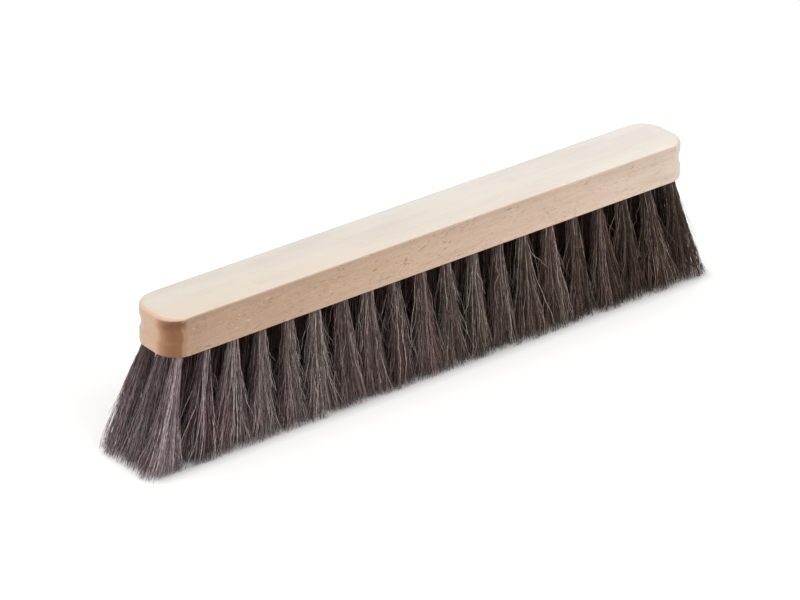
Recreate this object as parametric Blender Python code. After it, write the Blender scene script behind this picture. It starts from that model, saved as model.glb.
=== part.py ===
"""A wooden hand brush, 30 cm long: a beech block with sixty tufts of horsehair in three rows.

Metres, +Z up. The brush stands on its hair tips at Z = 0 with its length along X, and the
origin is under the middle of the block. Each column object carries the three tufts that lie
side by side across the block: their folded roots, the slice of the drilled face that they
leave through, and their strands.
"""

import math

import bmesh
import bpy
from mathutils import Matrix

# Block: one length of beech with round corners
BLOCK_LENGTH = 0.300
BLOCK_WIDTH = 0.031
BLOCK_HEIGHT = 0.019
CORNER_RADIUS = 0.011
FOOT_ROUND = 0.0007

# Its edge is cut with one profile along the sides and with another round the ends, and the two
# run into each other at the corners. Each has a round top edge, a lip and a finger groove below
# it, which is only a faint hollow along the sides.
SIDE_TOP_ROUND = 0.0012
SIDE_LIP_HEIGHT = 0.0016
SIDE_GROOVE_HEIGHT = 0.0105
SIDE_GROOVE_DEPTH = 0.0003
END_TOP_ROUND = 0.0026
END_LIP_HEIGHT = 0.0051
END_GROOVE_HEIGHT = 0.0080
END_GROOVE_DEPTH = 0.00095

# Tuft holes in the underside, on a plain grid that keeps these margins to the block's outline
COLUMNS = 20
ROWS = 3
END_MARGIN = 0.0080
SIDE_MARGIN = 0.0055
HOLE_RADIUS = 0.0025
HOLE_DEPTH = 0.0110

# Flat wire anchor that crosses each hole and holds the fold of the hair
ANCHOR_HEIGHT = 0.0014
ANCHOR_THICKNESS = 0.0005
ANCHOR_BITE = 0.0008
FOLD_THICKNESS = 0.0022

# Slice of the drilled face round each column of tufts
SLICE_THICKNESS = 0.0012
SLICE_LAND = 0.0004

# Hair: its free length, and how far the tips of the end columns and of the side rows lean out.
# The other columns lean less and less towards the middle.
HAIR_LENGTH = 0.0535
END_LEAN = 0.0175
SIDE_LEAN = 0.00375
LEAN_POWER = 3
TIP_TRIM = 0.0005

# Gap that touching pieces keep, and how far a cutter runs past the face that it opens
CLEARANCE = 0.0003
OVERRUN = 0.0010

# Strands of a tuft: wedges round its axis, some of which stay nearer to it than others
REACH_SHARES = (1.0, 0.5, 0.93, 0.62, 1.0, 0.45, 0.88)
STRANDS = len(REACH_SHARES)
WEDGE_SHARE = 0.88
SPREAD_SHARE = 0.86
TURN_SHARES = (0.0, 0.38, 0.71)
COLUMN_TURN_SHARE = 0.29

# Rings of a strand below its root: share of the free length, of the sideways way and of the root's size
BEND_SHARES = (0.46, 0.44, 1.30)
TIP_SIZE_SHARE = 0.95

# Grooves from their lower edge up: share of the groove's height and of its depth
SIDE_GROOVE_SHARES = ((0, 0), (0.28, 0.30), (0.52, 0.62), (0.70, 0.90), (0.84, 1), (0.93, 0.55), (1, 0))
END_GROOVE_SHARES = ((0, 0), (0.10, 0.50), (0.20, 0.94), (0.42, 1), (0.66, 0.97), (0.84, 0.50), (1, 0))

# Facets
CORNER_STEPS = 6
ROUND_STEPS = 3
HOLE_SIDES = 8
SLICE_STEPS = 6
SMOOTH_ANGLE = math.radians(35)

UNDERSIDE = HAIR_LENGTH
BLOCK_TOP = UNDERSIDE + BLOCK_HEIGHT
COLUMN_SPAN = BLOCK_LENGTH - 2 * END_MARGIN
ROW_SPAN = BLOCK_WIDTH - 2 * SIDE_MARGIN
TIP_ROW_SPAN = ROW_SPAN + 2 * SIDE_LEAN
SLOT_RADIUS = HOLE_RADIUS + SLICE_LAND + CLEARANCE
SLOT_DEPTH = SLICE_THICKNESS + CLEARANCE
SLICE_RADIUS = SLOT_RADIUS - CLEARANCE
PLUG_RADIUS = HOLE_RADIUS - CLEARANCE
PLUG_TOP = HOLE_DEPTH - CLEARANCE
ANCHOR_MIDDLE = HOLE_DEPTH - FOLD_THICKNESS - ANCHOR_HEIGHT / 2


def clear_scene():
    for item in list(bpy.data.objects):
        bpy.data.objects.remove(item, do_unlink=True)


def plain_material(name, colour, roughness, metallic):
    material = bpy.data.materials.new(name)
    material.use_nodes = True
    material.diffuse_color = (*colour, 1)
    shader = material.node_tree.nodes["Principled BSDF"]
    shader.inputs["Base Color"].default_value = (*colour, 1)
    shader.inputs["Roughness"].default_value = roughness
    shader.inputs["Metallic"].default_value = metallic
    return material


def blend(start, end, share):
    return start + (end - start) * share


def tuft_places(count, span):
    """The places of one row or column of holes, centred on zero."""
    return [span * (step / (count - 1) - 1 / 2) for step in range(count)]


def edge_profile(top_round, lip_height, groove_height, groove_depth, groove_shares):
    """(inset, height) up the block's edge: round foot, wall, groove, lip and round top edge."""
    profile = []
    for step in range(ROUND_STEPS + 1):
        angle = math.pi / 2 * step / ROUND_STEPS
        inset = FOOT_ROUND * (1 - math.sin(angle))
        profile.append((inset, UNDERSIDE + FOOT_ROUND * (1 - math.cos(angle))))
    groove_low = BLOCK_TOP - lip_height - groove_height
    for rise, depth in groove_shares:
        profile.append((groove_depth * depth, groove_low + groove_height * rise))
    for step in range(ROUND_STEPS + 1):
        angle = math.pi / 2 * step / ROUND_STEPS
        inset = top_round * (1 - math.cos(angle))
        profile.append((inset, BLOCK_TOP - top_round * (1 - math.sin(angle))))
    return profile


def block_section(side, end):
    """A round-cornered loop round the block through one point of the side's and of the end's profile."""
    points = []
    for corner, (side_x, side_y) in enumerate(((1, 1), (-1, 1), (-1, -1), (1, -1))):
        for step in range(CORNER_STEPS + 1):
            angle = math.pi / 2 * (corner + step / CORNER_STEPS)
            inset, height = (blend(*pair, abs(math.cos(angle))) for pair in zip(side, end))
            x = side_x * (BLOCK_LENGTH / 2 - CORNER_RADIUS) + (CORNER_RADIUS - inset) * math.cos(angle)
            y = side_y * (BLOCK_WIDTH / 2 - CORNER_RADIUS) + (CORNER_RADIUS - inset) * math.sin(angle)
            points.append((x, y, height))
    return points


def slot_outline(reach, radius):
    """Two half circles of this radius, centred at +reach and -reach on Y."""
    points = []
    for side in (1, -1):
        for step in range(SLICE_STEPS + 1):
            angle = math.pi * step / SLICE_STEPS
            points.append((side * radius * math.cos(angle), side * (reach + radius * math.sin(angle))))
    return points


def add_ring(shape, points):
    """A closed loop of edges through points in order."""
    corners = [shape.verts.new(point) for point in points]
    ahead = corners[1:] + corners[:1]
    return [shape.edges.new(pair) for pair in zip(corners, ahead)]


def add_loft(shape, sections):
    """A closed skin over sections that all have the same number of points."""
    rings = [add_ring(shape, section) for section in sections]
    for lower, upper in zip(rings, rings[1:]):
        bmesh.ops.bridge_loops(shape, edges=lower + upper)
    bmesh.ops.edgeloop_fill(shape, edges=rings[0])
    bmesh.ops.edgeloop_fill(shape, edges=rings[-1])


def add_prism(shape, outline, low, high):
    add_loft(shape, [[(x, y, height) for x, y in outline] for height in (low, high)])


def add_round_bar(shape, x, y, radius, low, high):
    """An upright bar with flats square to X and Y."""
    place = Matrix.Translation((x, y, (low + high) / 2))
    turn = Matrix.Rotation(math.pi / HOLE_SIDES, 4, "Z")
    bmesh.ops.create_cone(
        shape,
        cap_ends=True,
        segments=HOLE_SIDES,
        radius1=radius,
        radius2=radius,
        depth=high - low,
        matrix=place @ turn,
    )


def add_box(shape, centre, size):
    bmesh.ops.create_cube(shape, size=1, matrix=Matrix.Translation(centre) @ Matrix.Diagonal((*size, 1)))


def finished_object(name, shape, materials):
    bmesh.ops.recalc_face_normals(shape, faces=shape.faces)
    mesh = bpy.data.meshes.new(name)
    shape.to_mesh(mesh)
    shape.free()
    for material in materials:
        mesh.materials.append(material)
    item = bpy.data.objects.new(name, mesh)
    bpy.context.scene.collection.objects.link(item)
    return item


def combine(body, tool, operation):
    """Changes body's mesh by a Boolean with tool, and removes tool."""
    modifier = body.modifiers.new(tool.name, "BOOLEAN")
    modifier.operation = operation
    modifier.solver = "EXACT"
    modifier.object = tool
    graph = bpy.context.evaluated_depsgraph_get()
    result = bpy.data.meshes.new_from_object(body.evaluated_get(graph))
    body.modifiers.clear()
    body.data = result
    result.name = body.name
    bpy.data.objects.remove(tool, do_unlink=True)


def shade(item):
    item.data.shade_smooth()
    item.data.set_sharp_from_angle(angle=SMOOTH_ANGLE)


def block_sections():
    side_profile = edge_profile(
        SIDE_TOP_ROUND, SIDE_LIP_HEIGHT, SIDE_GROOVE_HEIGHT, SIDE_GROOVE_DEPTH, SIDE_GROOVE_SHARES
    )
    end_profile = edge_profile(
        END_TOP_ROUND, END_LIP_HEIGHT, END_GROOVE_HEIGHT, END_GROOVE_DEPTH, END_GROOVE_SHARES
    )
    return [block_section(side, end) for side, end in zip(side_profile, end_profile)]


def make_block(wood):
    shape = bmesh.new()
    add_loft(shape, block_sections())
    block = finished_object("block", shape, [wood])

    slots = bmesh.new()
    holes = bmesh.new()
    anchors = bmesh.new()
    anchor_size = (2 * (HOLE_RADIUS + ANCHOR_BITE), ANCHOR_THICKNESS, ANCHOR_HEIGHT)
    for x in tuft_places(COLUMNS, COLUMN_SPAN):
        outline = [(x + side, y) for side, y in slot_outline(ROW_SPAN / 2, SLOT_RADIUS)]
        add_prism(slots, outline, UNDERSIDE - OVERRUN, UNDERSIDE + SLOT_DEPTH)
        for y in tuft_places(ROWS, ROW_SPAN):
            add_round_bar(holes, x, y, HOLE_RADIUS, UNDERSIDE - OVERRUN, UNDERSIDE + HOLE_DEPTH)
            add_box(anchors, (x, y, UNDERSIDE + ANCHOR_MIDDLE), anchor_size)
    combine(block, finished_object("slots", slots, [wood]), "DIFFERENCE")
    combine(block, finished_object("holes", holes, [wood]), "DIFFERENCE")
    combine(block, finished_object("anchors", anchors, [wood]), "UNION")
    shade(block)


def column_root_mesh(wood, hair):
    """The slice with the three folded roots on it and the anchors' eyes through them.

    Its own zero is the middle of the column on the block's underside.
    """
    shape = bmesh.new()
    add_prism(shape, slot_outline(ROW_SPAN / 2, SLICE_RADIUS), 0, SLICE_THICKNESS)
    root = finished_object("column_root", shape, [wood, hair])

    plugs = bmesh.new()
    eyes = bmesh.new()
    eye_size = (2 * HOLE_RADIUS, ANCHOR_THICKNESS + 2 * CLEARANCE, ANCHOR_HEIGHT + 2 * CLEARANCE)
    for y in tuft_places(ROWS, ROW_SPAN):
        add_round_bar(plugs, 0, y, PLUG_RADIUS, SLICE_THICKNESS / 2, PLUG_TOP)
        add_box(eyes, (0, y, ANCHOR_MIDDLE), eye_size)
    for tool_shape in (plugs, eyes):
        for face in tool_shape.faces:
            face.material_index = 1
    combine(root, finished_object("plugs", plugs, [wood, hair]), "UNION")
    combine(root, finished_object("eyes", eyes, [wood, hair]), "DIFFERENCE")
    mesh = root.data
    bpy.data.objects.remove(root, do_unlink=True)
    return mesh


def wedge_corners():
    """The middle and the three corners of one strand at its root, as if it pointed along +X."""
    half = math.pi / STRANDS
    radius = HOLE_RADIUS - CLEARANCE / 2
    rim = radius * math.cos(half)
    middle = 2 / 3 * rim
    corners = [(0, 0), (rim, -radius * math.sin(half)), (rim, radius * math.sin(half))]
    return middle, [((x - middle) * WEDGE_SHARE, y * WEDGE_SHARE) for x, y in corners]


def tip_place(x):
    """Where the tips of the column at x meet the floor, and their pitch as a share of the roots' pitch."""
    half_span = COLUMN_SPAN / 2
    share = abs(x) / half_span
    place = math.copysign(abs(x) + END_LEAN * share**LEAN_POWER, x)
    return place, 1 + LEAN_POWER * END_LEAN / half_span * share ** (LEAN_POWER - 1)


def add_tuft(shape, column, row):
    """The strands of one tuft, from inside the slice to just below the floor."""
    column_x = tuft_places(COLUMNS, COLUMN_SPAN)[column]
    row_y = tuft_places(ROWS, ROW_SPAN)[row]
    tip_x, widening = tip_place(column_x)
    tip_y = tuft_places(ROWS, TIP_ROW_SPAN)[row]
    side_x = math.copysign(1, column_x)
    side_y = math.copysign(1, row_y)
    spread_x = SPREAD_SHARE * widening * COLUMN_SPAN / (COLUMNS - 1) / 2
    spread_y = SPREAD_SHARE * TIP_ROW_SPAN / (ROWS - 1) / 2
    from_end = min(column, COLUMNS - 1 - column)
    turn = COLUMN_TURN_SHARE * from_end + TURN_SHARES[min(row, ROWS - 1 - row)]
    middle, corners = wedge_corners()
    bend_height, bend_way, bend_size = BEND_SHARES
    rings = (
        (SLICE_THICKNESS / 2, 0, 1),
        (-HAIR_LENGTH * bend_height, bend_way, bend_size),
        (-HAIR_LENGTH - TIP_TRIM, 1, TIP_SIZE_SHARE),
    )
    for strand, reach in enumerate(REACH_SHARES):
        angle = math.tau * (strand + turn) / STRANDS
        ahead_x = side_x * math.cos(angle)
        ahead_y = side_y * math.sin(angle)
        sections = []
        for height, way, size in rings:
            centre_x = blend(0, tip_x - column_x, way) + ahead_x * blend(middle, spread_x * reach, way)
            centre_y = blend(row_y, tip_y, way) + ahead_y * blend(middle, spread_y * reach, way)
            section = []
            for along, across in corners:
                x = centre_x + size * (along * ahead_x - across * side_x * math.sin(angle))
                y = centre_y + size * (along * ahead_y + across * side_y * math.cos(angle))
                section.append((x, y, height))
            sections.append(section)
        add_loft(shape, sections)


def trim_tips(shape):
    """Cuts the strands off flat at the floor, as the brush maker trims them."""
    everything = shape.verts[:] + shape.edges[:] + shape.faces[:]
    bmesh.ops.bisect_plane(
        shape, geom=everything, plane_co=(0, 0, -HAIR_LENGTH), plane_no=(0, 0, 1), clear_inner=True
    )
    bmesh.ops.edgeloop_fill(shape, edges=[edge for edge in shape.edges if edge.is_boundary])


def make_column(column, root_mesh, wood, hair):
    name = f"tuft_column_{column + 1:02d}"
    body = bpy.data.objects.new(name, root_mesh.copy())
    bpy.context.scene.collection.objects.link(body)
    shape = bmesh.new()
    for row in range(ROWS):
        add_tuft(shape, column, row)
    trim_tips(shape)
    for face in shape.faces:
        face.material_index = 1
    combine(body, finished_object("strands", shape, [wood, hair]), "UNION")
    body.location = (tuft_places(COLUMNS, COLUMN_SPAN)[column], 0, UNDERSIDE)
    shade(body)


def main():
    clear_scene()
    wood = plain_material("beech", (0.58, 0.40, 0.27), 0.55, 0.0)
    hair = plain_material("horsehair", (0.055, 0.042, 0.038), 0.5, 0.0)
    make_block(wood)
    root_mesh = column_root_mesh(wood, hair)
    for column in range(COLUMNS):
        make_column(column, root_mesh, wood, hair)
    bpy.data.meshes.remove(root_mesh)


main()
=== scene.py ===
"""Looks of a wooden hand brush: a beech block with sixty tufts of horsehair.

Metres, +Z up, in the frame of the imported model. The block keeps the CAD block's outline, and the
hair fills the room of the CAD tufts, three tufts in each of the twenty columns across the block.
Left is -X, the end next to the camera, and the near side is -Y.
"""

import math
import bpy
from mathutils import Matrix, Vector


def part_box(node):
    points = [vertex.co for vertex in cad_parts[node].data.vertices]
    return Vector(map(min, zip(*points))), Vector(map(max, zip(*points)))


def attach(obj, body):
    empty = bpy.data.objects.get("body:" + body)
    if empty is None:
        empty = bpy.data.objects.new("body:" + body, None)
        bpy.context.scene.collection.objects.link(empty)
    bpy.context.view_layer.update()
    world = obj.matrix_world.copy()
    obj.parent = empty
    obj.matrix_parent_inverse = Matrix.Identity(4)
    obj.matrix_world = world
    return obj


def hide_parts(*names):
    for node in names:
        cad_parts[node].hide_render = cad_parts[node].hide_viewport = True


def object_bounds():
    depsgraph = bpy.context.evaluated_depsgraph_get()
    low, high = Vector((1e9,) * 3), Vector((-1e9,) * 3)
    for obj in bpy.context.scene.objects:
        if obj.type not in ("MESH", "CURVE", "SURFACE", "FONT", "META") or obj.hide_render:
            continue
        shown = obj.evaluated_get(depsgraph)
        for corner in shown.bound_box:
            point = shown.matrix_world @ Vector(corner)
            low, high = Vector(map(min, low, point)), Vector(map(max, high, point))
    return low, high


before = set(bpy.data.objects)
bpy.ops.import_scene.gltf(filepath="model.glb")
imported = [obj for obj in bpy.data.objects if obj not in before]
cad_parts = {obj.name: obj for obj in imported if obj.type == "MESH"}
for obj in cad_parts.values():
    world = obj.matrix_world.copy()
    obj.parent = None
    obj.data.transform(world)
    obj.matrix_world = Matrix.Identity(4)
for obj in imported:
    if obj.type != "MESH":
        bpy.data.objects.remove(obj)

from types import SimpleNamespace

import bpy
import numpy as np
from mathutils import Vector

cad_low, cad_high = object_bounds()
block_low, block_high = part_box("block")
UNDERSIDE = block_low.z
BLOCK_TOP = block_high.z
HALF_LENGTH = block_high.x
HALF_WIDTH = block_high.y

# Block: corners, round foot, and the profiles of its edge along the sides and round the ends. The
# shares of a groove are the way up it and how much of its depth it has there.
CORNER_RADIUS = 0.011
FOOT_ROUND = 0.0004
SIDE_TOP_ROUND = 0.0012
END_TOP_ROUND = 0.0026
SIDE_GROOVE = {
    "low": 0.0604, "high": 0.0709, "depth": 0.0003,
    "shares": ((0, 0), (0.28, 0.30), (0.52, 0.62), (0.70, 0.90), (0.84, 1), (0.93, 0.55), (1, 0)),
}
END_GROOVE = {
    "low": 0.0594, "high": 0.0674, "depth": 0.00095,
    "shares": ((0, 0), (0.10, 0.50), (0.20, 0.94), (0.42, 1), (0.66, 0.97), (0.84, 0.50), (1, 0)),
}
CORNER_STEPS = 20
ROUND_STEPS = 8
GROOVE_STEPS = 22
LEAST_STEP = 0.00002
FACE_RIM = 0.0004
LEVEL_FACE = 0.99
SMOOTH_ANGLE = math.radians(32)

# Tuft holes, drilled from the underside, and the flat wire anchor across each
COLUMNS = 20
ROWS = 3
END_MARGIN = 0.0080
SIDE_MARGIN = 0.0055
HOLE_RADIUS = 0.0025
HOLE_DEPTH = 0.0110
HOLE_CHAMFER = 0.0002
HOLE_SIDES = 28
DRILL_POINT_DEPTH = 0.001
DRILL_POINT_SHARE = 0.2
ANCHOR_SIZE = (0.0066, 0.0005, 0.0014)
ANCHOR_RISE = 0.0081
ANCHOR_ROUND = ANCHOR_SIZE[1] / 4
ANCHOR_ROUND_STEPS = 2
COLUMN_SPAN = 2 * (HALF_LENGTH - END_MARGIN)
ROW_SPAN = 2 * (HALF_WIDTH - SIDE_MARGIN)

# Hair: its reach at the floor, as in the CAD tufts, and how much of the lean each end shows
END_LEAN = 0.0175
SIDE_LEAN = 0.00375
LEAN_POWER = 3
LEFT_LEAN_SHARE = 0.86
RIGHT_LEAN_SHARE = 0.56

# One tuft: its hairs, the bundle that they make in the hole, and the rings of points along a hair
HAIRS = 480
LOCKS = 17
HAIR_RADIUS = 0.000115
PALE_SIZE_SHARE = 0.20
TIP_SIZE_SHARE = 0.75
ROOT_RISE = 0.0078
BUNDLE_RADIUS = 0.00238
RING_SHARES = (0, 0.09, 0.19, 0.30, 0.41, 0.52, 0.63, 0.75, 0.87, 1)
GOLDEN_TURN = math.pi * (3 - math.sqrt(5))
LEAST_REACH = 1e-9

# How wide a tuft opens at the floor, in shares of its pitch there, how square, and how late: the higher
# the power, the lower down it opens. The powers are those of the near, the middle and the far row.
SPREAD_SHARE = 1.10
SIDE_SPREAD_SHARE = 0.95
END_SPREAD_SHARE = 0.95
SQUARE_SHARE = 0.85
SPREAD_POWERS = (1.85, 0.50, 1.50)
NEXT_TO_END_POWERS = (1.75, 0.50, 0.42)
LEFT_SPREAD_POWERS = (1.95, 1.28, 0.76)
RIGHT_SPREAD_POWERS = (1.55, 0.72, 0.72)

# At the sides the hair is drawn in from this far inside the CAD tufts, and stays within this room
EASING_START = 0.0015
EASING_ROOM = 0.0020

# Painted shade: how much each row darkens towards the block, where the rows beside it keep off the light
INNER_SHARES = (0, 1, 0)
LEFT_INNER_SHARES = (0, 0.45, 0.65)
RIGHT_INNER_SHARES = (0, 0, 0)

# Chance in the places of hairs, in shares of the bundle's radius at the root and of the spread at the tip
FIRST_SEED = 11
ROOT_JITTER = 0.02
LOCK_JITTER = 0.12
TUFT_SHIFT = 0.07
TUFT_SIZE_CHANGE = 0.05
LOCK_SHIFT = 0.10
LOCK_GATHERING = 0.30
PARTED_SHARE = 0.15
PARTED_SHIFT = (0.36, 0.15)
HAIR_SHIFT = 0.18
STRAY_SHARE = 0.09
STRAY_SHIFT = 0.42

# Chance in the line of a hair, sideways in metres. Pale hairs bend more.
LOCK_BOW = 0.0004
HAIR_BOW = 0.0003
STRAY_BOW = 0.0009
LOCK_BEND = 0.00025
HAIR_BEND = 0.00026
DARK_BEND_SHARE = 0.8
PALE_BEND_GAIN = 1.7

# Chance in its tone, from 0 for the darkest to 1 for the palest
TONE_SHAPE = (1.4, 3.2)
LOCK_TONE = 0.08
TUFT_TONE = 0.045
STRAY_TONES = (0.4, 1)

# Chance in its length: how far it ends above the floor, and how a broken hair stands out
LOCK_SHORT = 0.0018
HAIR_SHORT = 0.0008
RARE_SHORT = 0.005
RARE_POWER = 10
BROKEN_SHARE = 0.15
BROKEN_SHORT = (0.003, 0.034)
BROKEN_NARROWING = 0.45
SPLAY = 0.0014
SPLAY_POWER = 4

# Limits that the tips and bows of the end columns keep to, and shares of their bends and splay
END_TIP_JITTER = 0.04
END_SIDE_REACH = 1.03
END_BOW = 0.0003
END_SIDE_BOW = 0.0002
END_BEND_SHARE = 0.8
LEFT_SPLAY_SHARE = 0.6
RIGHT_SPLAY_SHARE = 0.9

# The map of the hairs: bands of strips, the room left round a strip, and the part for the hidden root
BAKE_MAP = "OFBake"
MAP_BANDS = 8
STRIP_SIDE_ROOM = 0.06
STRIP_END_ROOM = 0.02
ROOT_STRIP_SHARE = 0.12

# Camera, fitted to the photograph's frame
CAMERA_AZIMUTH = math.radians(-38.028)
CAMERA_ELEVATION = math.radians(27.641)
CAMERA_DISTANCE = 2.049757
CAMERA_RIGHT = 0.008751
CAMERA_UP = 0.021043
CAMERA_LENS = 202.5
CAMERA_SENSOR = 36
CAMERA_REACH = 10

# Floor: its greys, the ground under the hair, and how it glows and turns white away from there
FLOOR_SIZE = 12
PAPER_GREY = 0.8
SEEN_PAPER_GREY = 0.85
# Under this ground the glow is left out, a painted contact shadow
FOOTPRINT = (0.158, 0.0185, 0)
GLOW = 0.285
GLOW_ROOM = 0.007
WHITE_START = 0.25
WHITE_END = 0.6

# Light of the room, and the softboxes: name, place, side and power
AMBIENT_COLOUR = (1, 0.985, 0.965, 1)
AMBIENT_STRENGTH = 0.50
SOFTBOXES = (
    ("top_softbox", (0.1, 0.28, 1.59), 1.4, 8),
    ("front_softbox", (0.15, -0.98, 0.95), 0.9, 6.2),
    ("left_softbox", (-1.3, -0.5, 0.6), 0.9, 5.6),
)


def tint(red, green, blue):
    """A colour as it shows on screen, 0 to 255, in the linear numbers that a shader takes."""
    shares = (value / 255 for value in (red, green, blue))
    return tuple(s / 12.92 if s <= 0.04045 else ((s + 0.055) / 1.055) ** 2.4 for s in shares) + (1,)


def grey(value):
    """A grey in the linear numbers that a shader takes."""
    return (value, value, value, 1)


WHITE = grey(1)

# Beech: stops of (place, colour). Those of the plank run from its left end to its right one, and those
# of an end run round it to the corner that the cutter leaves it by, in shares of two right angles.
# The plank is paler towards its right end, and its top paler than its sides, partly as painted light from the
# right and painted sheen on top.
SIDE_COLOURS = (
    (0.02, tint(177, 147, 122)), (0.09, tint(188, 158, 135)), (0.25, tint(194, 166, 143)),
    (0.5, tint(209, 183, 161)), (0.75, tint(219, 195, 175)), (0.97, tint(229, 212, 195)),
)
NEAR_TOP_COLOURS = ((0.05, tint(225, 212, 194)), (0.5, tint(231, 221, 210)), (0.95, tint(238, 231, 222)))
FAR_TOP_COLOURS = ((0.05, tint(224, 219, 211)), (0.5, tint(226, 222, 214)), (0.95, tint(238, 235, 231)))
# The left end's darkest stops, at its near corner, are partly browned end grain and partly painted shade.
LEFT_END_COLOURS = (
    (0.22, tint(220, 203, 186)), (0.39, tint(218, 200, 181)), (0.50, tint(222, 187, 159)),
    (0.585, tint(181, 134, 99)), (0.665, tint(149, 103, 70)), (0.75, tint(133, 86, 53)),
    (0.86, tint(137, 92, 61)), (0.89, tint(166, 131, 102)),
)
RIGHT_END_COLOURS = ((0.22, tint(226, 210, 194)), (0.50, tint(226, 209, 192)), (0.89, tint(220, 198, 178)))
# Colour of the painted highlight along the rim of the ends
RIM_HIGHLIGHT_COLOUR = tint(232, 200, 174)
# The lip at that corner is partly scorched and partly painted shade.
SCORCH_AND_SHADE_COLOUR = tint(110, 60, 32)
SCORCH_AND_SHADE_SHARE = 0.85

# Tints that a noise from 0 to 1 gives
FIGURE_TINTS = ((0.32, tint(243, 238, 235)), (0.52, tint(255, 252, 250)), (0.70, WHITE))
FIBRE_TINTS = ((0.30, tint(240, 235, 230)), (0.60, WHITE))
PORE_TINTS = ((0.35, tint(244, 240, 238)), (0.65, WHITE))
PORE_SHARE = 0.8

# Grains a metre of each noise in the wood, along X, Y and Z
FIGURE_GRAIN = (14, 70, 130)
FIBRE_GRAIN = (110, 1000, 1000)
GATHERING_GRAIN = (90, 160, 160)
PORE_GRAIN = (300, 900, 900)
SCORCH_AND_SHADE_GRAIN = (240, 240, 500)

# Flecks: their tilt to the grain, grains a metre, and the noise at which one starts and is full
PALE_FLECKS = (0.13, (380, 1300, 1300), 0.65, 0.77)
SMALL_FLECKS = (-0.16, (700, 2300, 2300), 0.60, 0.72)
DARK_FLECKS = (0.10, (370, 1450, 1450), 0.61, 0.71)
PALE_FLECK_COLOUR = tint(240, 222, 206)
SMALL_FLECK_COLOUR = tint(150, 112, 86)
DARK_FLECK_COLOUR = tint(142, 100, 74)
PALE_FLECK_SHARE = 0.36
SMALL_FLECK_SHARE = 0.30
DARK_FLECK_SHARE = 0.55
STROKE_ROUGHNESS = 0.4

# Changes in the wood by height. Each change goes from where to where, and from how much to how much
# if that isn't from 0 to 1.
# Painted light brightens the sides at their foot, and painted shade darkens them under the top edge.
FOOT_SHADE = (UNDERSIDE, UNDERSIDE + 0.004, 1.10, 1)
EDGE_SHADE = (0.062, 0.0712, 1, 0.90)
# Heights of the painted highlight along the rim
RIM_HIGHLIGHT_HEIGHTS = (0.0704, 0.0713)
LIP_FOOT = (0.0662, 0.0682)
LIP_TOP = (0.0702, 0.0711, 1, 0)

# By how far a face turns up, and how strong its grain is on the sides and on level faces
TURN_TO_TOP = (0.50, 0.95)
# How far a face turns up to carry the painted rim highlight
RIM_HIGHLIGHT_TURN = (0.30, 0.65, 0, 0.8)
END_TURN_TO_TOP = (0.87, 0.985, 1, 0)
TURN_TO_LEVEL = (0.25, 0.8)
FIGURE_STRENGTHS = (0.9, 0.8)
FIBRE_STRENGTHS = (0.6, 0.12)
FLECK_STRENGTHS = (1, 0.12)

# By how far a face turns to an end, and by its turn round a corner there
TURN_TO_END = (0.16, 0.24)
TURN_OFF_LEFT = (-0.24, -0.06, 1, 0)
FAR_CORNER = (0.08, 0.24)
SCORCHED_AND_SHADED_CORNER = (0.58, 0.74)

# By the place along the block
LEFT_TO_RIGHT = (-0.05, 0.05)
FLECKS_ALONG = (0.1, 1, 1.3, 0.9)

# By a noise
FLECK_GATHERING = (0.38, 0.62, 0.25, 1)
SCORCH_AND_SHADE_PATCHES = (0.30, 0.60, 0.5, 1)
BEECH_ROUGHNESS = (0.3, 0.7, 0.54, 0.44)
BEECH_RELIEF = {"Strength": 0.2, "Distance": 0.00006}
FLECK_DENT = 0.8

# Horsehair: stops by the hair's tone, the share of brown along the brush, and tints by tuft
# The greyer, paler hair at the left is partly painted light.
GREY_HAIRS = (
    (0.0, tint(76, 54, 49)), (0.35, tint(156, 135, 141)),
    (0.62, tint(208, 190, 195)), (1.0, tint(246, 236, 238)),
)
BROWN_HAIRS = (
    (0.0, tint(40, 25, 18)), (0.35, tint(80, 58, 47)),
    (0.62, tint(116, 95, 83)), (1.0, tint(204, 188, 175)),
)
BROWN_SHARES = (
    (0.04, grey(0.12)), (0.125, grey(0.44)), (0.204, grey(0.58)),
    (0.322, grey(0.65)), (0.5, grey(0.74)), (0.85, grey(1)),
)
TUFT_TINTS = ((0.36, tint(255, 244, 243)), (0.50, tint(251, 249, 248)), (0.64, tint(243, 247, 242)))
# Tint of the painted shade on the inner rows
INNER_TINT = tint(172, 146, 138)
TUFT_GRAIN = (60, 60, 14)
# Banding along each hair: random tone, and partly painted glints where hairs catch the light
BANDING_GRAIN = (1100, 1100, 320)
BANDING = (0.3, 0.7, 0.58, 1.42)
# Painted shade: the inner rows towards the block, and each hair near its root
INNER_DARKENING = (0.15, 0.8, 1, 0)
ROOT_SHADE = (0, 0.4, 0.92, 1)
HAIR_ROUGHNESS = (0, 1, 0.38, 0.55)
HAIR_SPECULAR = 0.35

# Drawn steel wire
STEEL_COLOURS = ((0.3, tint(150, 150, 148)), (0.7, tint(196, 196, 192)))
DRAWN_GRAIN = (80, 3000, 3000)
STEEL_ROUGHNESS = (0.3, 0.7, 0.3, 0.45)


# Modelling helpers

def select_only(piece):
    bpy.ops.object.select_all(action="DESELECT")
    piece.select_set(True)
    bpy.context.view_layer.objects.active = piece


def new_piece(name):
    """The primitive that was just added, under its own name, open in edit mode with all selected."""
    piece = bpy.context.object
    piece.name = name
    piece.data.name = name
    bpy.ops.object.mode_set(mode="EDIT")
    bpy.ops.mesh.select_all(action="SELECT")
    return piece


def select_faces(piece, wanted):
    """Selects the faces of a piece in edit mode for which wanted(face) is true."""
    bpy.ops.object.mode_set(mode="OBJECT")
    for part in (*piece.data.vertices, *piece.data.edges):
        part.select = False
    for face in piece.data.polygons:
        face.select = wanted(face)
    bpy.ops.object.mode_set(mode="EDIT")
    bpy.ops.mesh.select_mode(type="FACE")


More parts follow.
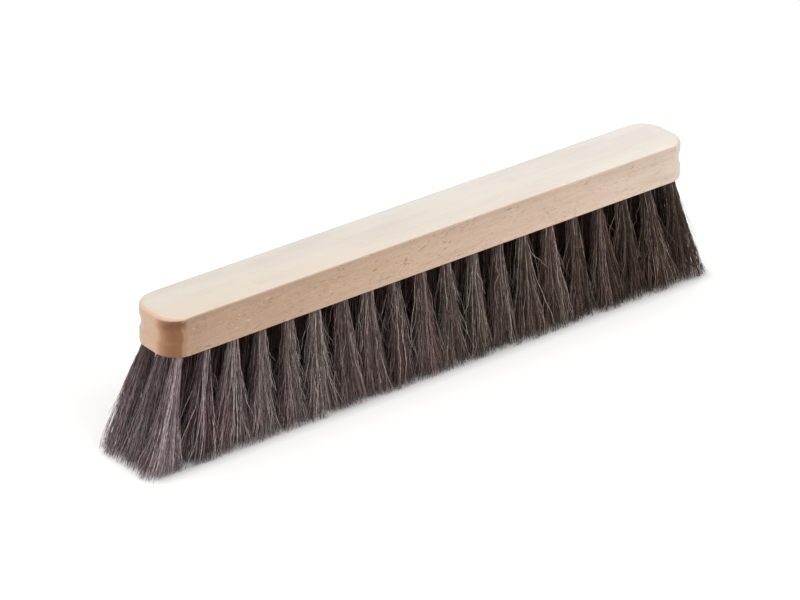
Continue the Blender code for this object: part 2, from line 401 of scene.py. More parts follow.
def extrude_up(rise):
    bpy.ops.mesh.extrude_region_move(TRANSFORM_OT_translate={"value": (0, 0, rise)})


def finish_shape(piece):
    bpy.ops.mesh.select_all(action="SELECT")
    bpy.ops.mesh.normals_make_consistent(inside=False)
    bpy.ops.object.mode_set(mode="OBJECT")
    smooth(piece)


def smooth(piece):
    select_only(piece)
    bpy.ops.object.shade_smooth_by_angle(angle=SMOOTH_ANGLE)


def copies_joined(piece, places):
    """One mesh object that holds a copy of piece at each place. The piece itself becomes the first copy."""
    copies = []
    for place in places[1:]:
        twin = piece.copy()
        twin.data = piece.data.copy()
        twin.location = place
        bpy.context.scene.collection.objects.link(twin)
        copies.append(twin)
    piece.location = places[0]
    select_only(piece)
    for twin in copies:
        twin.select_set(True)
    bpy.ops.object.join()
    bpy.ops.object.transform_apply(location=True, rotation=True, scale=True)
    return piece


def cut(piece, cutter):
    modifier = piece.modifiers.new("holes", "BOOLEAN")
    modifier.operation = "DIFFERENCE"
    modifier.solver = "EXACT"
    modifier.object = cutter
    select_only(piece)
    bpy.ops.object.modifier_apply(modifier=modifier.name)
    bpy.data.objects.remove(cutter, do_unlink=True)


def places_along(count, span):
    return [span * (step / (count - 1) - 1 / 2) for step in range(count)]


def hole_places():
    rows = places_along(ROWS, ROW_SPAN)
    return [(x, y, UNDERSIDE) for x in places_along(COLUMNS, COLUMN_SPAN) for y in rows]


# Beech block

def profile_inset(height, top_round, groove):
    """How far the block's edge lies inside its outline at this height."""
    inset = 0.0
    above_foot = height - UNDERSIDE
    if above_foot < FOOT_ROUND:
        inset += FOOT_ROUND - math.sqrt(FOOT_ROUND**2 - (FOOT_ROUND - above_foot) ** 2)
    share = (height - groove["low"]) / (groove["high"] - groove["low"])
    rises, depths = zip(*groove["shares"])
    inset += groove["depth"] * float(np.interp(share, rises, depths, left=0, right=0))
    below_top = BLOCK_TOP - height
    if below_top < top_round:
        inset += top_round - math.sqrt(max(top_round**2 - (top_round - below_top) ** 2, 0))
    return inset


def block_heights():
    """Heights of the block's outlines, close together where its edge turns fast."""
    heights = {UNDERSIDE, BLOCK_TOP}
    for step in range(ROUND_STEPS + 1):
        turn = 1 - math.cos(math.pi / 2 * step / ROUND_STEPS)
        heights.add(UNDERSIDE + FOOT_ROUND * turn)
        heights.add(BLOCK_TOP - SIDE_TOP_ROUND * turn)
        heights.add(BLOCK_TOP - END_TOP_ROUND * turn)
    for step in range(GROOVE_STEPS + 1):
        heights.add(END_GROOVE["low"] + (SIDE_GROOVE["high"] - END_GROOVE["low"]) * step / GROOVE_STEPS)
    spaced = [min(heights)]
    for height in sorted(heights):
        if height - spaced[-1] > LEAST_STEP:
            spaced.append(height)
    spaced[-1] = BLOCK_TOP
    return spaced


def block_reach(height):
    """Half the block's length and width at this height."""
    side = profile_inset(height, SIDE_TOP_ROUND, SIDE_GROOVE)
    end = profile_inset(height, END_TOP_ROUND, END_GROOVE)
    return HALF_LENGTH - end, HALF_WIDTH - side


def make_block():
    """Extrudes a round-cornered outline upwards, wider or narrower at each height, and drills it."""
    heights = block_heights()
    bpy.ops.object.select_all(action="DESELECT")
    bpy.ops.mesh.primitive_plane_add(size=2, location=(0, 0, 0))
    block = new_piece("beech_block")
    reach_x, reach_y = block_reach(heights[0])
    bpy.ops.transform.resize(value=(reach_x, reach_y, 1))
    bpy.ops.transform.translate(value=(0, 0, heights[0]))
    bpy.ops.mesh.bevel(offset=CORNER_RADIUS, segments=CORNER_STEPS, affect="VERTICES", profile=0.5)
    bpy.ops.mesh.select_all(action="SELECT")
    for low, high in zip(heights, heights[1:]):
        extrude_up(high - low)
        new_x, new_y = block_reach(high)
        bpy.ops.transform.resize(value=(new_x / reach_x, new_y / reach_y, 1), center_override=(0, 0, high))
        reach_x, reach_y = new_x, new_y
    for level in (UNDERSIDE, BLOCK_TOP):
        select_faces(
            block, lambda face: abs(face.normal.z) > LEVEL_FACE and abs(face.center.z - level) < FACE_RIM
        )
        bpy.ops.mesh.inset(thickness=FACE_RIM)
    finish_shape(block)
    cut(block, make_drills())
    smooth(block)
    return block


def make_drills():
    """Sixty drill shapes with a small chamfer at the mouth of the hole and a cone at its end."""
    mouth = HOLE_RADIUS + 2 * HOLE_CHAMFER
    bpy.ops.object.select_all(action="DESELECT")
    bpy.ops.mesh.primitive_circle_add(vertices=HOLE_SIDES, radius=mouth, fill_type="NGON", location=(0, 0, 0))
    drill = new_piece("drills")
    bpy.ops.transform.translate(value=(0, 0, -HOLE_CHAMFER))
    chamfer = (2 * HOLE_CHAMFER, HOLE_RADIUS / mouth)
    for rise, size in (chamfer, (HOLE_DEPTH, 1), (DRILL_POINT_DEPTH, DRILL_POINT_SHARE)):
        extrude_up(rise)
        bpy.ops.transform.resize(value=(size, size, 1))
    finish_shape(drill)
    return copies_joined(drill, hole_places())


def make_anchors():
    """Flat steel wires, rounded at their edges, that lie across the holes and hold the folded hair."""
    bpy.ops.object.select_all(action="DESELECT")
    bpy.ops.mesh.primitive_cube_add(size=1, location=(0, 0, 0))
    wire = new_piece("anchor_wires")
    bpy.ops.transform.resize(value=ANCHOR_SIZE)
    bpy.ops.transform.translate(value=(0, 0, ANCHOR_RISE))
    bpy.ops.mesh.bevel(offset=ANCHOR_ROUND, segments=ANCHOR_ROUND_STEPS, affect="EDGES")
    finish_shape(wire)
    return copies_joined(wire, hole_places())


# Horsehair

def tip_place(x):
    """Where the tips of the column at x meet the floor, and their pitch as a share of the roots' pitch."""
    half_span = COLUMN_SPAN / 2
    share = abs(x) / half_span
    lean = END_LEAN * (LEFT_LEAN_SHARE if x < 0 else RIGHT_LEAN_SHARE)
    place = math.copysign(abs(x) + lean * share**LEAN_POWER, x)
    return place, 1 + LEAN_POWER * lean / half_span * share ** (LEAN_POWER - 1)


def single_hair():
    """One three-sided hair of unit radius, its rings at the ring shares up Z: (points, triangles)."""
    bpy.ops.object.select_all(action="DESELECT")
    bpy.ops.mesh.primitive_circle_add(vertices=3, radius=1, fill_type="NGON", location=(0, 0, 0))
    hair = new_piece("single_hair")
    bpy.ops.transform.translate(value=(0, 0, -1))
    for low, high in zip((-1, *RING_SHARES), RING_SHARES):
        extrude_up(high - low)
    bpy.ops.mesh.select_all(action="SELECT")
    bpy.ops.mesh.quads_convert_to_tris()
    bpy.ops.mesh.normals_make_consistent(inside=False)
    bpy.ops.object.mode_set(mode="OBJECT")
    points = np.array([vertex.co for vertex in hair.data.vertices])
    triangles = np.array([face.vertices for face in hair.data.polygons])
    bpy.data.objects.remove(hair, do_unlink=True)
    return points, triangles


def disc_spots(count, draw, jitter):
    """Evenly packed spots in a disc of radius one."""
    step = np.arange(count)
    radius = np.sqrt((step + 0.5) / count)
    angle = step * GOLDEN_TURN
    spots = np.stack([radius * np.cos(angle), radius * np.sin(angle)], 1)
    return spots + draw.normal(0, jitter, (count, 2))


def squared(spots):
    """Spots of a round disc, pushed out towards the square round it, so that tufts meet at the floor."""
    reach = np.linalg.norm(spots, axis=1)
    longest = np.maximum(np.abs(spots).max(1), LEAST_REACH)
    return spots * (1 + SQUARE_SHARE * (reach / longest - 1))[:, None]


def eased(places, reach, room):
    """Places that lie past reach on either side, drawn back so that none is more than room past it."""
    beyond = np.maximum(np.abs(places) - reach, 0)
    return np.sign(places) * (np.minimum(np.abs(places), reach) + room * (1 - np.exp(-beyond / room)))


def tuft_plan(column, row):
    """Where a tuft's root and tip are, half its spread at the floor, and the power that it opens by."""
    root_x = places_along(COLUMNS, COLUMN_SPAN)[column]
    tip_x, widening = tip_place(root_x)
    end_share = abs(root_x) / (COLUMN_SPAN / 2)
    spread = SPREAD_SHARE + (END_SPREAD_SHARE - SPREAD_SHARE) * end_share**LEAN_POWER
    spread_x = spread * widening * COLUMN_SPAN / (COLUMNS - 1) / 2
    spread_y = SIDE_SPREAD_SHARE * (ROW_SPAN + 2 * SIDE_LEAN) / (ROWS - 1) / 2
    from_end = min(column, COLUMNS - 1 - column)
    end_powers = LEFT_SPREAD_POWERS if root_x < 0 else RIGHT_SPREAD_POWERS
    return SimpleNamespace(
        root=np.array([root_x, places_along(ROWS, ROW_SPAN)[row]]),
        tip=np.array([tip_x, places_along(ROWS, ROW_SPAN + 2 * SIDE_LEAN)[row]]),
        spread=np.array([spread_x, spread_y]),
        power=(end_powers, NEXT_TO_END_POWERS, SPREAD_POWERS)[min(from_end, 2)][row],
        at_end=from_end == 0,
        outwards=math.copysign(1, root_x),
    )


def clinging_hairs(draw):
    """Hairs that cling together in locks. No tuft stands or spreads quite like the next."""
    rings = len(RING_SHARES)
    roots = disc_spots(HAIRS, draw, ROOT_JITTER)
    locks = disc_spots(LOCKS, draw, LOCK_JITTER)
    lock = np.argmin(((roots[:, None] - locks[None]) ** 2).sum(2), 1)
    tuft_shift = draw.normal(0, TUFT_SHIFT, 2)
    tuft_size = draw.normal(1, TUFT_SIZE_CHANGE)
    lock_shift = draw.normal(0, LOCK_SHIFT, (LOCKS, 2))
    parted = draw.random(LOCKS) < PARTED_SHARE
    lock_shift[parted] += draw.normal(0, 1, (parted.sum(), 2)) * PARTED_SHIFT
    lock_short = LOCK_SHORT * draw.random(LOCKS) ** 2
    lock_bow = draw.normal(0, LOCK_BOW, (LOCKS, 2))
    lock_bends = draw.normal(0, LOCK_BEND, (LOCKS, rings, 2))
    lock_tone = draw.normal(0, LOCK_TONE, LOCKS)
    tips = squared(roots) * tuft_size + LOCK_GATHERING * (locks[lock] - roots)
    tips += tuft_shift + lock_shift[lock] + draw.normal(0, HAIR_SHIFT, (HAIRS, 2))
    bow = lock_bow[lock] + draw.normal(0, HAIR_BOW, (HAIRS, 2))
    tone = np.clip(draw.beta(*TONE_SHAPE, HAIRS) + lock_tone[lock] + draw.normal(0, TUFT_TONE), 0, 1)
    bend_size = (DARK_BEND_SHARE + PALE_BEND_GAIN * tone)[:, None, None]
    bends = lock_bends[lock] + draw.normal(0, HAIR_BEND, (HAIRS, rings, 2)) * bend_size
    return SimpleNamespace(
        roots=roots, tips=tips, bow=bow, bends=bends, tone=tone,
        short=lock_short[lock], splay=np.zeros((HAIRS, 2)),
    )


def let_some_stray(hairs, draw):
    """A few hairs, mostly pale ones, cross the others and bow away from them."""
    stray = draw.random(HAIRS) < STRAY_SHARE
    count = stray.sum()
    hairs.tips[stray] += draw.normal(0, STRAY_SHIFT, (count, 2))
    hairs.bow[stray] += draw.normal(0, STRAY_BOW, (count, 2))
    hairs.tone[stray] = draw.uniform(*STRAY_TONES, count)


def hold_at_end(hairs, outwards, draw):
    """The hair of an end column keeps to the slanting line that closes the brush."""
    limit = 1 + draw.normal(0, END_TIP_JITTER, HAIRS)
    hairs.tips[:, 0] = outwards * np.minimum(outwards * hairs.tips[:, 0], limit)
    hairs.bow[:, 0] = outwards * np.minimum(outwards * hairs.bow[:, 0], END_BOW)
    hairs.tips[:, 1] = np.clip(hairs.tips[:, 1], -END_SIDE_REACH, END_SIDE_REACH)
    hairs.bow[:, 1] = np.clip(hairs.bow[:, 1], -END_SIDE_BOW, END_SIDE_BOW)
    hairs.bends *= END_BEND_SHARE


def shorten(hairs, draw):
    """Hairs end at uneven heights. Some have broken off higher up, and stick out of the tuft there."""
    uneven = np.abs(draw.normal(0, HAIR_SHORT, HAIRS))
    hairs.short = hairs.short + uneven + RARE_SHORT * draw.random(HAIRS) ** RARE_POWER
    broken = draw.random(HAIRS) < BROKEN_SHARE
    count = broken.sum()
    hairs.short[broken] = draw.uniform(*BROKEN_SHORT, count)
    hairs.tips[broken] *= (1 - BROKEN_NARROWING * hairs.short[broken] / UNDERSIDE)[:, None]
    hairs.splay[broken] = draw.normal(0, SPLAY, (count, 2))


def tuft_lines(column, row, draw):
    """The hairs of one tuft: (points along each hair at the rings, tone of each hair from 0 to 1)."""
    tuft = tuft_plan(column, row)
    hairs = clinging_hairs(draw)
    let_some_stray(hairs, draw)
    if tuft.at_end:
        hold_at_end(hairs, tuft.outwards, draw)
    shorten(hairs, draw)
    if tuft.at_end:
        splay_share = RIGHT_SPLAY_SHARE if tuft.outwards > 0 else LEFT_SPLAY_SHARE
        hairs.splay[:, 0] = tuft.outwards * splay_share * np.abs(hairs.splay[:, 0])

    # Each hair goes from its place in the bundle to its place in the spread, by way of its bow and bends
    share = np.array(RING_SHARES)[None, :, None]
    reached = share * (1 - hairs.short / UNDERSIDE)[:, None, None]
    root_offset = BUNDLE_RADIUS * hairs.roots[:, None]
    tip_offset = tuft.spread * hairs.tips[:, None]
    flat = tuft.root + (tuft.tip - tuft.root) * reached
    flat = flat + root_offset + (tip_offset - root_offset) * share**tuft.power
    flat = flat + hairs.bow[:, None] * np.sin(math.pi * share) + hairs.bends * np.sqrt(share)
    flat = flat + hairs.splay[:, None] * share**SPLAY_POWER
    height = UNDERSIDE - (UNDERSIDE - hairs.short[:, None, None]) * share
    lines = np.concatenate([flat, np.broadcast_to(height, (*flat.shape[:2], 1))], 2)
    in_hole = np.concatenate([lines[:, :1, :2], np.full((HAIRS, 1, 1), UNDERSIDE + ROOT_RISE)], 2)
    return np.concatenate([in_hole, lines], 1), hairs.tone


def strip_corners(points, triangles):
    """Where each corner of one hair's triangles lies on its strip of the map, which wraps round the hair."""
    third = np.round(np.arctan2(points[:, 1], points[:, 0]) / (2 * math.pi / 3)).astype(int) % 3
    across = third[triangles]
    wraps = (across.max(1) == 2) & (across.min(1) == 0) & ~(across == 1).any(1)
    across = np.where(wraps[:, None] & (across == 0), 3, across)
    seen_share = ROOT_STRIP_SHARE + (1 - ROOT_STRIP_SHARE) * points[:, 2]
    down = np.where(points[:, 2] < 0, 0, seen_share)[triangles]
    return (
        STRIP_SIDE_ROOM + (1 - 2 * STRIP_SIDE_ROOM) * across / 3,
        STRIP_END_ROOM + (1 - 2 * STRIP_END_ROOM) * down,
    )


def lay_on_map(mesh, tone, points, triangles):
    """Puts the hairs side by side on a map for baking, in bands of like tone."""
    across, down = strip_corners(points, triangles)
    strips = len(tone) // MAP_BANDS
    rank = np.argsort(np.argsort(tone))
    spots_u = (rank % strips)[:, None] + across.ravel()[None]
    spots_v = (rank // strips)[:, None] + down.ravel()[None]
    spots = np.stack([spots_u / strips, spots_v / MAP_BANDS], 2).reshape(-1).astype(np.float32)
    mesh.uv_layers.new(name=BAKE_MAP).uv.foreach_set("vector", spots)


def hair_mesh(name, lines, tone, inner, hair):
    """A mesh of single hairs along lines, with the tone, the row's painted shade and the way down as
    attributes.
    """
    points, triangles = hair
    shares = np.array((-1, *RING_SHARES))
    ring = np.argmin(np.abs(points[:, 2][:, None] - shares[None]), 1)
    along = np.clip(shares, 0, 1)[ring]
    taper = 1 + (TIP_SIZE_SHARE - 1) * along
    size = HAIR_RADIUS * (1 + PALE_SIZE_SHARE * tone)[:, None] * taper[None]
    placed = lines[:, ring]
    placed[:, :, :2] += size[:, :, None] * points[None, :, :2]
    count = len(lines)
    faces = (triangles[None] + (np.arange(count) * len(points))[:, None, None]).reshape(-1, 3)
    mesh = bpy.data.meshes.new(name)
    mesh.from_pydata(placed.reshape(-1, 3), [], faces)
    mesh.shade_smooth()
    values = {
        "tone": np.repeat(tone, len(points)),
        "inner": np.repeat(inner, len(points)),
        "along": np.tile(along, count),
    }
    for key, value in values.items():
        mesh.attributes.new(key, "FLOAT", "POINT").data.foreach_set("value", value.astype(np.float32))
    lay_on_map(mesh, tone, points, triangles)
    return mesh


def inner_shares(column):
    if column == 0:
        return LEFT_INNER_SHARES
    if column == COLUMNS - 1:
        return RIGHT_INNER_SHARES
    return INNER_SHARES


def make_hair(material):
    """A piece of three tufts for each column, in place of the CAD column of the same number."""
    hair = single_hair()
    for column in range(COLUMNS):
        draw = np.random.default_rng(column + FIRST_SEED)
        tufts = [tuft_lines(column, row, draw) for row in range(ROWS)]
        lines = np.concatenate([lines for lines, tone in tufts])
        tone = np.concatenate([tone for lines, tone in tufts])
        lines[:, :, 1] = eased(lines[:, :, 1], cad_high.y - EASING_START, EASING_ROOM)
        inner = np.repeat(inner_shares(column), HAIRS)
        name = f"horsehair_column_{column + 1:02d}"
        piece = bpy.data.objects.new(name, hair_mesh(name, lines, tone, inner, hair))
        bpy.context.scene.collection.objects.link(piece)
        piece.data.materials.append(material)
        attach(piece, "root")
        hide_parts(f"tuft_column_{column + 1:02d}")


# Materials

def blank_material(name):
    material = bpy.data.materials.new(name)
    material.use_nodes = True
    return material, material.node_tree, material.node_tree.nodes["Principled BSDF"]


def add_node(tree, kind, inputs=None, **settings):
    node = tree.nodes.new(kind)
    for key, value in settings.items():
        setattr(node, key, value)
    for key, value in (inputs or {}).items():
        if isinstance(value, bpy.types.NodeSocket):
            tree.links.new(value, node.inputs[key])
        else:
            node.inputs[key].default_value = value
    return node


def ramp(tree, value, stops):
    """A colour ramp through (place, colour) stops."""
    node = add_node(tree, "ShaderNodeValToRGB", {"Fac": value})
    elements = node.color_ramp.elements
    while len(elements) < len(stops):
        elements.new(0.5)
    for element, (place, colour) in zip(elements, stops):
        element.position = place
        element.color = colour
    return node.outputs["Color"]


def limits(tree, value, low, high, to_low=0, to_high=1):
    """value, brought from the range low to high to the range to_low to to_high."""
    settings = {"Value": value, "From Min": low, "From Max": high, "To Min": to_low, "To Max": to_high}
    return add_node(tree, "ShaderNodeMapRange", settings).outputs["Result"]


def sums(tree, operation, first, second=0):
    return add_node(tree, "ShaderNodeMath", {0: first, 1: second}, operation=operation).outputs["Value"]


def product(tree, first, *others):
    for other in others:
        first = sums(tree, "MULTIPLY", first, other)
    return first


def mix(tree, share, first, second, blend_type="MIX"):
    inputs = {"Factor": share, 6: first, 7: second}
    node = add_node(tree, "ShaderNodeMix", inputs, data_type="RGBA", blend_type=blend_type)
    return node.outputs[2]


def tinted(tree, colour, second, share=1):
    """A colour multiplied by a second one, fully or by a share."""
    return mix(tree, share, colour, second, "MULTIPLY")


def shaded(tree, colour, shade):
    """A colour multiplied by a number."""
    shade_colour = add_node(tree, "ShaderNodeCombineXYZ", {0: shade, 1: shade, 2: shade})
    return tinted(tree, colour, shade_colour.outputs[0])


def noise(tree, place, grain, detail, roughness=0.55):
    """Noise from 0 to 1, with this many grains a metre along X, Y and Z."""
    scaled = add_node(tree, "ShaderNodeMapping", {"Vector": place, "Scale": grain}).outputs["Vector"]
    inputs = {"Vector": scaled, "Scale": 1, "Detail": detail, "Roughness": roughness}
    return add_node(tree, "ShaderNodeTexNoise", inputs).outputs["Fac"]


def fleck_layer(tree, place, tilt, grain, low, high):
    """Short uneven strokes along the grain: one in the middle of a stroke, and zero between them."""
    turned = add_node(tree, "ShaderNodeMapping", {"Vector": place, "Rotation": (0, tilt, tilt / 2)})
    return limits(tree, noise(tree, turned.outputs[0], grain, 1, STROKE_ROUGHNESS), low, high)


def end_turn(tree, normal):
    """How far an upright face turns from a square end towards the side, in shares of a right angle.

    It is 0 on the ends, 1 on the sides after the corner that the cutter leaves the end by, and -1
    on the sides before the other one.
    """
    across = product(tree, normal["X"], normal["Y"])
    square = product(tree, normal["X"], normal["X"])
    return product(tree, sums(tree, "ARCTAN2", across, square), 2 / math.pi)


def plank_colour(wood):
    """Darker and browner at the left end of the plank, and paler at the right one and on top, partly as
    painted light from the right and painted sheen on top.
    """
    tree = wood.tree
    across = limits(tree, wood.point["Y"], -HALF_WIDTH, HALF_WIDTH)
    near_top = ramp(tree, wood.along, NEAR_TOP_COLOURS)
    top_colour = mix(tree, across, near_top, ramp(tree, wood.along, FAR_TOP_COLOURS))
    # Painted shade under the top edge, and painted light at the foot
    below_edge = limits(tree, wood.point["Z"], *EDGE_SHADE)
    shade = product(tree, below_edge, limits(tree, wood.point["Z"], *FOOT_SHADE))
    side_colour = shaded(tree, ramp(tree, wood.along, SIDE_COLOURS), shade)
    return mix(tree, limits(tree, wood.normal["Z"], *TURN_TO_TOP), side_colour, top_colour)


def with_grain(wood, colour, fibre):
    """Broad figure and fine fibres."""
    tree = wood.tree
    figure_tint = ramp(tree, noise(tree, wood.place, FIGURE_GRAIN, 4), FIGURE_TINTS)
    fibre_tint = ramp(tree, fibre, FIBRE_TINTS)
    colour = tinted(tree, colour, figure_tint, limits(tree, wood.level, *TURN_TO_LEVEL, *FIGURE_STRENGTHS))
    return tinted(tree, colour, fibre_tint, limits(tree, wood.level, *TURN_TO_LEVEL, *FIBRE_STRENGTHS))


def with_flecks(wood, colour):
    """Short flecks along the grain, mostly on the sides: (colour, how far a place is a dark fleck)."""
    tree = wood.tree
    on_side = limits(tree, wood.level, *TURN_TO_LEVEL, *FLECK_STRENGTHS)
    gathered = limits(tree, noise(tree, wood.place, GATHERING_GRAIN, 1), *FLECK_GATHERING)
    share = product(tree, on_side, gathered, limits(tree, wood.along, *FLECKS_ALONG))
    dark = product(tree, fleck_layer(tree, wood.place, *DARK_FLECKS), share)
    small = product(tree, fleck_layer(tree, wood.place, *SMALL_FLECKS), share)
    pale = product(tree, fleck_layer(tree, wood.place, *PALE_FLECKS), share)
    colour = mix(tree, product(tree, pale, PALE_FLECK_SHARE), colour, PALE_FLECK_COLOUR)
    colour = mix(tree, product(tree, small, SMALL_FLECK_SHARE), colour, SMALL_FLECK_COLOUR)
    colour = mix(tree, product(tree, dark, DARK_FLECK_SHARE), colour, DARK_FLECK_COLOUR)
    return colour, dark


def with_end_grain(wood, colour):
    """End grain with fine pores, darker at the corner where the cutter left the left end, partly browned,
    partly painted shade.
    """
    tree = wood.tree
    pore_tint = ramp(tree, noise(tree, wood.place, PORE_GRAIN, 2), PORE_TINTS)
    end_colour = tinted(tree, ramp(tree, wood.turn, LEFT_END_COLOURS), pore_tint, PORE_SHARE)
    # A painted highlight along the rim
    turned_up = limits(tree, wood.normal["Z"], *RIM_HIGHLIGHT_TURN)
    in_rim_highlight = product(tree, turned_up, limits(tree, wood.point["Z"], *RIM_HIGHLIGHT_HEIGHTS))
    end_colour = mix(tree, in_rim_highlight, end_colour, RIM_HIGHLIGHT_COLOUR)
    on_right = limits(tree, wood.point["X"], *LEFT_TO_RIGHT)
    end_colour = mix(tree, on_right, end_colour, ramp(tree, wood.turn, RIGHT_END_COLOURS))

    # On the left the far corner stays as the side is
    towards_end = limits(tree, sums(tree, "ABSOLUTE", wood.normal["X"]), *TURN_TO_END)
    below_top = limits(tree, wood.normal["Z"], *END_TURN_TO_TOP)
    past_corner = sums(tree, "MAXIMUM", limits(tree, wood.turn, *FAR_CORNER), on_right)
    return mix(tree, product(tree, towards_end, below_top, past_corner), colour, end_colour)


def with_scorched_and_shaded_lip(wood, colour):
    """The lip over the groove is darker, unevenly, at the corner that is browned: partly scorched, partly
    painted shade.
    """
    tree = wood.tree
    past_end = limits(tree, wood.turn, *SCORCHED_AND_SHADED_CORNER)
    above_groove = limits(tree, wood.point["Z"], *LIP_FOOT)
    in_lip = product(tree, above_groove, limits(tree, wood.point["Z"], *LIP_TOP))
    uneven = limits(tree, noise(tree, wood.place, SCORCH_AND_SHADE_GRAIN, 2), *SCORCH_AND_SHADE_PATCHES)
    facing_left = limits(tree, wood.normal["X"], *TURN_OFF_LEFT)
    share = product(tree, past_end, in_lip, uneven, facing_left, SCORCH_AND_SHADE_SHARE)
    return mix(tree, share, colour, SCORCH_AND_SHADE_COLOUR)


def beech_material():
    """Sanded beech: long fibres along X, short flecks, browner end grain at the left end, and painted light
    and shade.
    """
    material, tree, shader = blank_material("sanded_beech")
    coordinates = add_node(tree, "ShaderNodeTexCoord").outputs
    place = coordinates["Object"]
    normal = add_node(tree, "ShaderNodeSeparateXYZ", {0: coordinates["Normal"]}).outputs
    point = add_node(tree, "ShaderNodeSeparateXYZ", {0: place}).outputs
    wood = SimpleNamespace(
        tree=tree, place=place, point=point, normal=normal,
        along=limits(tree, point["X"], -HALF_LENGTH, HALF_LENGTH),
        level=sums(tree, "ABSOLUTE", normal["Z"]),
        turn=limits(tree, end_turn(tree, normal), -1, 1),
    )
    fibre = noise(tree, place, FIBRE_GRAIN, 3)
    colour = with_grain(wood, plank_colour(wood), fibre)
    colour, dark_flecks = with_flecks(wood, colour)
    colour = with_scorched_and_shaded_lip(wood, with_end_grain(wood, colour))
    tree.links.new(colour, shader.inputs["Base Color"])
    tree.links.new(limits(tree, fibre, *BEECH_ROUGHNESS), shader.inputs["Roughness"])
    relief = sums(tree, "SUBTRACT", fibre, product(tree, dark_flecks, FLECK_DENT))
    bump = add_node(tree, "ShaderNodeBump", {"Height": relief, **BEECH_RELIEF})
    tree.links.new(bump.outputs["Normal"], shader.inputs["Normal"])
    return material


def horsehair_material():
    """Hair from nearly black through grey-brown to a few pale ones, each hair in its own tone, greyer and
    paler at the left partly as painted light.
    """
    material, tree, shader = blank_material("horsehair")
    tone = add_node(tree, "ShaderNodeAttribute", attribute_name="tone").outputs["Fac"]
    along = add_node(tree, "ShaderNodeAttribute", attribute_name="along").outputs["Fac"]
    inner = add_node(tree, "ShaderNodeAttribute", attribute_name="inner").outputs["Fac"]
    place = add_node(tree, "ShaderNodeTexCoord").outputs["Object"]
    point = add_node(tree, "ShaderNodeSeparateXYZ", {0: place}).outputs
    # Greyer and paler to the left, browner to the right: partly hair colour, partly painted light
    brown_share = ramp(tree, limits(tree, point["X"], cad_low.x, cad_high.x), BROWN_SHARES)
    colour = mix(tree, brown_share, ramp(tree, tone, GREY_HAIRS), ramp(tree, tone, BROWN_HAIRS))
    colour = tinted(tree, colour, ramp(tree, noise(tree, place, TUFT_GRAIN, 1), TUFT_TINTS))

    # Painted shade darkens the inner rows towards the block, and each hair a little at its root. Each hair is
    # banded, in random tone and partly in painted glints.
    darkening = product(tree, inner, limits(tree, along, *INNER_DARKENING))
    colour = mix(tree, darkening, colour, tinted(tree, colour, INNER_TINT))
    banding = limits(tree, noise(tree, place, BANDING_GRAIN, 2), *BANDING)
    colour = shaded(tree, colour, product(tree, banding, limits(tree, along, *ROOT_SHADE)))
    tree.links.new(colour, shader.inputs["Base Color"])
    tree.links.new(limits(tree, tone, *HAIR_ROUGHNESS), shader.inputs["Roughness"])
    shader.inputs["Specular IOR Level"].default_value = HAIR_SPECULAR
    return material


def steel_material():
    """Drawn tinned steel wire."""
    material, tree, shader = blank_material("anchor_steel")
    place = add_node(tree, "ShaderNodeTexCoord").outputs["Object"]
    drawn = noise(tree, place, DRAWN_GRAIN, 2)
    tree.links.new(ramp(tree, drawn, STEEL_COLOURS), shader.inputs["Base Color"])
    tree.links.new(limits(tree, drawn, *STEEL_ROUGHNESS), shader.inputs["Roughness"])
    shader.inputs["Metallic"].default_value = 1
    return material


# Stage

def direct_sight(tree):
    """One where the camera, a reflection or a clear surface looks straight at this, and zero elsewhere."""
    rays = add_node(tree, "ShaderNodeLightPath").outputs
    seen = sums(tree, "MAXIMUM", rays["Is Camera Ray"], rays["Is Glossy Ray"])
    return sums(tree, "MAXIMUM", seen, rays["Is Transmission Ray"])


def mix_shaders(tree, share, first, second):
    return add_node(tree, "ShaderNodeMixShader", {0: share, 1: first, 2: second}).outputs[0]


def vector_sums(tree, operation, first, second=(0, 0, 0)):
    node = add_node(tree, "ShaderNodeVectorMath", {0: first, 1: second}, operation=operation)
    return node.outputs["Value" if operation == "LENGTH" else "Vector"]


def floor_material():
    """White paper that keeps a soft shadow close to the brush, deepened by a painted shadow where its glow
    fades out under the brush.
    """
    material, tree, shader = blank_material("white_floor")
    tree.nodes.remove(shader)
    place = add_node(tree, "ShaderNodeTexCoord").outputs["Object"]
    beside = vector_sums(tree, "SUBTRACT", vector_sums(tree, "ABSOLUTE", place), FOOTPRINT)
    away = vector_sums(tree, "LENGTH", vector_sums(tree, "MAXIMUM", beside))
    glow_strength = limits(tree, away, 0, GLOW_ROOM, 0, GLOW)
    glow = add_node(tree, "ShaderNodeEmission", {"Color": WHITE, "Strength": glow_strength})
    seen_paper = add_node(tree, "ShaderNodeBsdfDiffuse", {"Color": grey(SEEN_PAPER_GREY)})
    lit = add_node(tree, "ShaderNodeAddShader", {0: seen_paper.outputs[0], 1: glow.outputs[0]})
    white = add_node(tree, "ShaderNodeEmission", {"Color": WHITE, "Strength": 1})
    whiteness = limits(tree, vector_sums(tree, "LENGTH", place), WHITE_START, WHITE_END)
    seen = mix_shaders(tree, whiteness, lit.outputs[0], white.outputs[0])
    paper = add_node(tree, "ShaderNodeBsdfDiffuse", {"Color": grey(PAPER_GREY)})
    surface = mix_shaders(tree, direct_sight(tree), paper.outputs[0], seen)
    tree.links.new(surface, tree.nodes["Material Output"].inputs["Surface"])
    return material


def make_floor():
    bpy.ops.object.select_all(action="DESELECT")
    bpy.ops.mesh.primitive_plane_add(size=FLOOR_SIZE, location=(0, 0, 0))
    floor = bpy.context.object
    floor.name = "floor"
    floor.data.materials.append(floor_material())


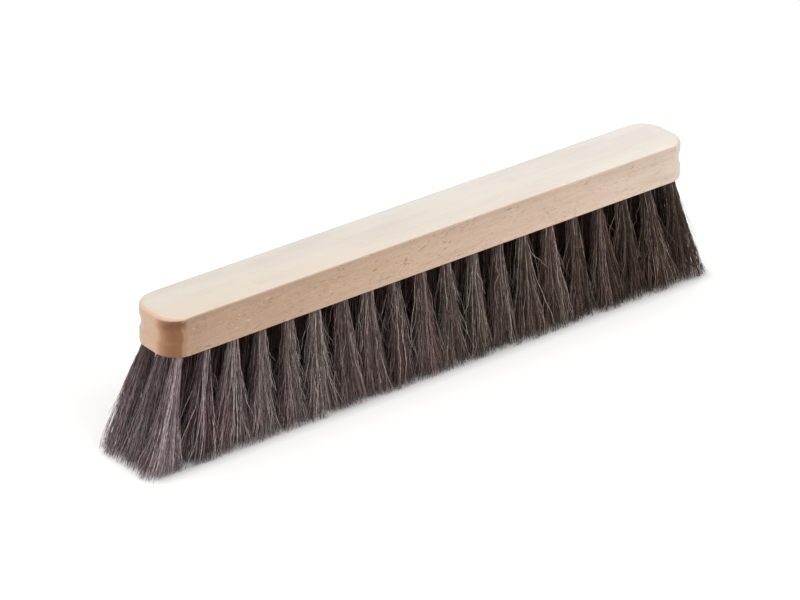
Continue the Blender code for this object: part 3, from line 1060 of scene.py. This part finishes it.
def make_world():
    """A soft light all round, and white where the camera sees past the floor."""
    world = bpy.data.worlds.new("studio")
    world.use_nodes = True
    bpy.context.scene.world = world
    tree = world.node_tree
    ambient = tree.nodes["Background"]
    ambient.inputs["Color"].default_value = AMBIENT_COLOUR
    ambient.inputs["Strength"].default_value = AMBIENT_STRENGTH
    white = add_node(tree, "ShaderNodeBackground", {"Color": WHITE, "Strength": 1})
    surface = mix_shaders(tree, direct_sight(tree), ambient.outputs[0], white.outputs[0])
    tree.links.new(surface, tree.nodes["World Output"].inputs["Surface"])


def make_softbox(name, place, side, power):
    """A square area lamp that faces the middle of the brush."""
    lamp = bpy.data.lights.new(name, "AREA")
    lamp.size = side
    lamp.energy = power
    holder = bpy.data.objects.new(name, lamp)
    holder.location = place
    aim = Vector((0, 0, UNDERSIDE)) - Vector(place)
    holder.rotation_euler = aim.to_track_quat("-Z", "Y").to_euler()
    bpy.context.scene.collection.objects.link(holder)


def make_camera():
    data = bpy.data.cameras.new("camera")
    data.lens = CAMERA_LENS
    data.sensor_width = CAMERA_SENSOR
    data.clip_end = CAMERA_REACH
    camera = bpy.data.objects.new("camera", data)
    across = math.cos(CAMERA_ELEVATION)
    back = Vector((
        math.sin(CAMERA_AZIMUTH) * across,
        -math.cos(CAMERA_AZIMUTH) * across,
        math.sin(CAMERA_ELEVATION),
    ))
    right = Vector((math.cos(CAMERA_AZIMUTH), math.sin(CAMERA_AZIMUTH), 0))
    up = back.cross(right)
    place = CAMERA_DISTANCE * back - CAMERA_RIGHT * right - CAMERA_UP * up
    camera.location = place + Vector((0, 0, UNDERSIDE))
    camera.rotation_euler = (-back).to_track_quat("-Z", "Y").to_euler()
    bpy.context.scene.collection.objects.link(camera)
    bpy.context.scene.camera = camera


def main():
    bpy.context.scene.view_settings.view_transform = "Standard"
    make_camera()
    make_world()
    make_floor()
    for softbox in SOFTBOXES:
        make_softbox(*softbox)

    block = make_block()
    block.data.materials.clear()
    block.data.materials.append(beech_material())
    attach(block, "root")
    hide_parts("block")

    anchors = make_anchors()
    anchors.data.materials.append(steel_material())
    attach(anchors, "root")

    make_hair(horsehair_material())


main()
